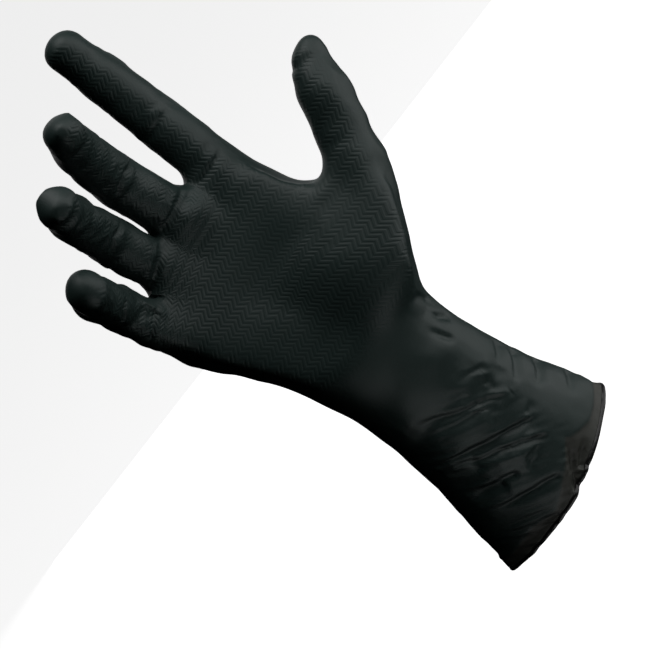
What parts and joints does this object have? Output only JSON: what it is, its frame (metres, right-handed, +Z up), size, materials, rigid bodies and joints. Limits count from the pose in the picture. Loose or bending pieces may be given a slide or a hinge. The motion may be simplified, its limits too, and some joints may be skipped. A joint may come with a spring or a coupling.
{
  "type": "nitrile exam glove",
  "caption": "Disposable black nitrile exam glove in its worn form, hollow, with a gathered cuff and a beaded rim.",
  "frame": {"origin": "centre of the cuff's opening, where the forearm goes in", "axes": "+Z up the forearm to the fingers, palm facing -Y, thumb on the +X side"},
  "size_m": [0.1382, 0.0799, 0.2669],
  "materials": {
    "nitrile": "satin, with a raised zigzag grip texture on palm and back"
  },
  "bodies": {
    "root": {"glove": "nitrile"}
  },
  "joints": []
}
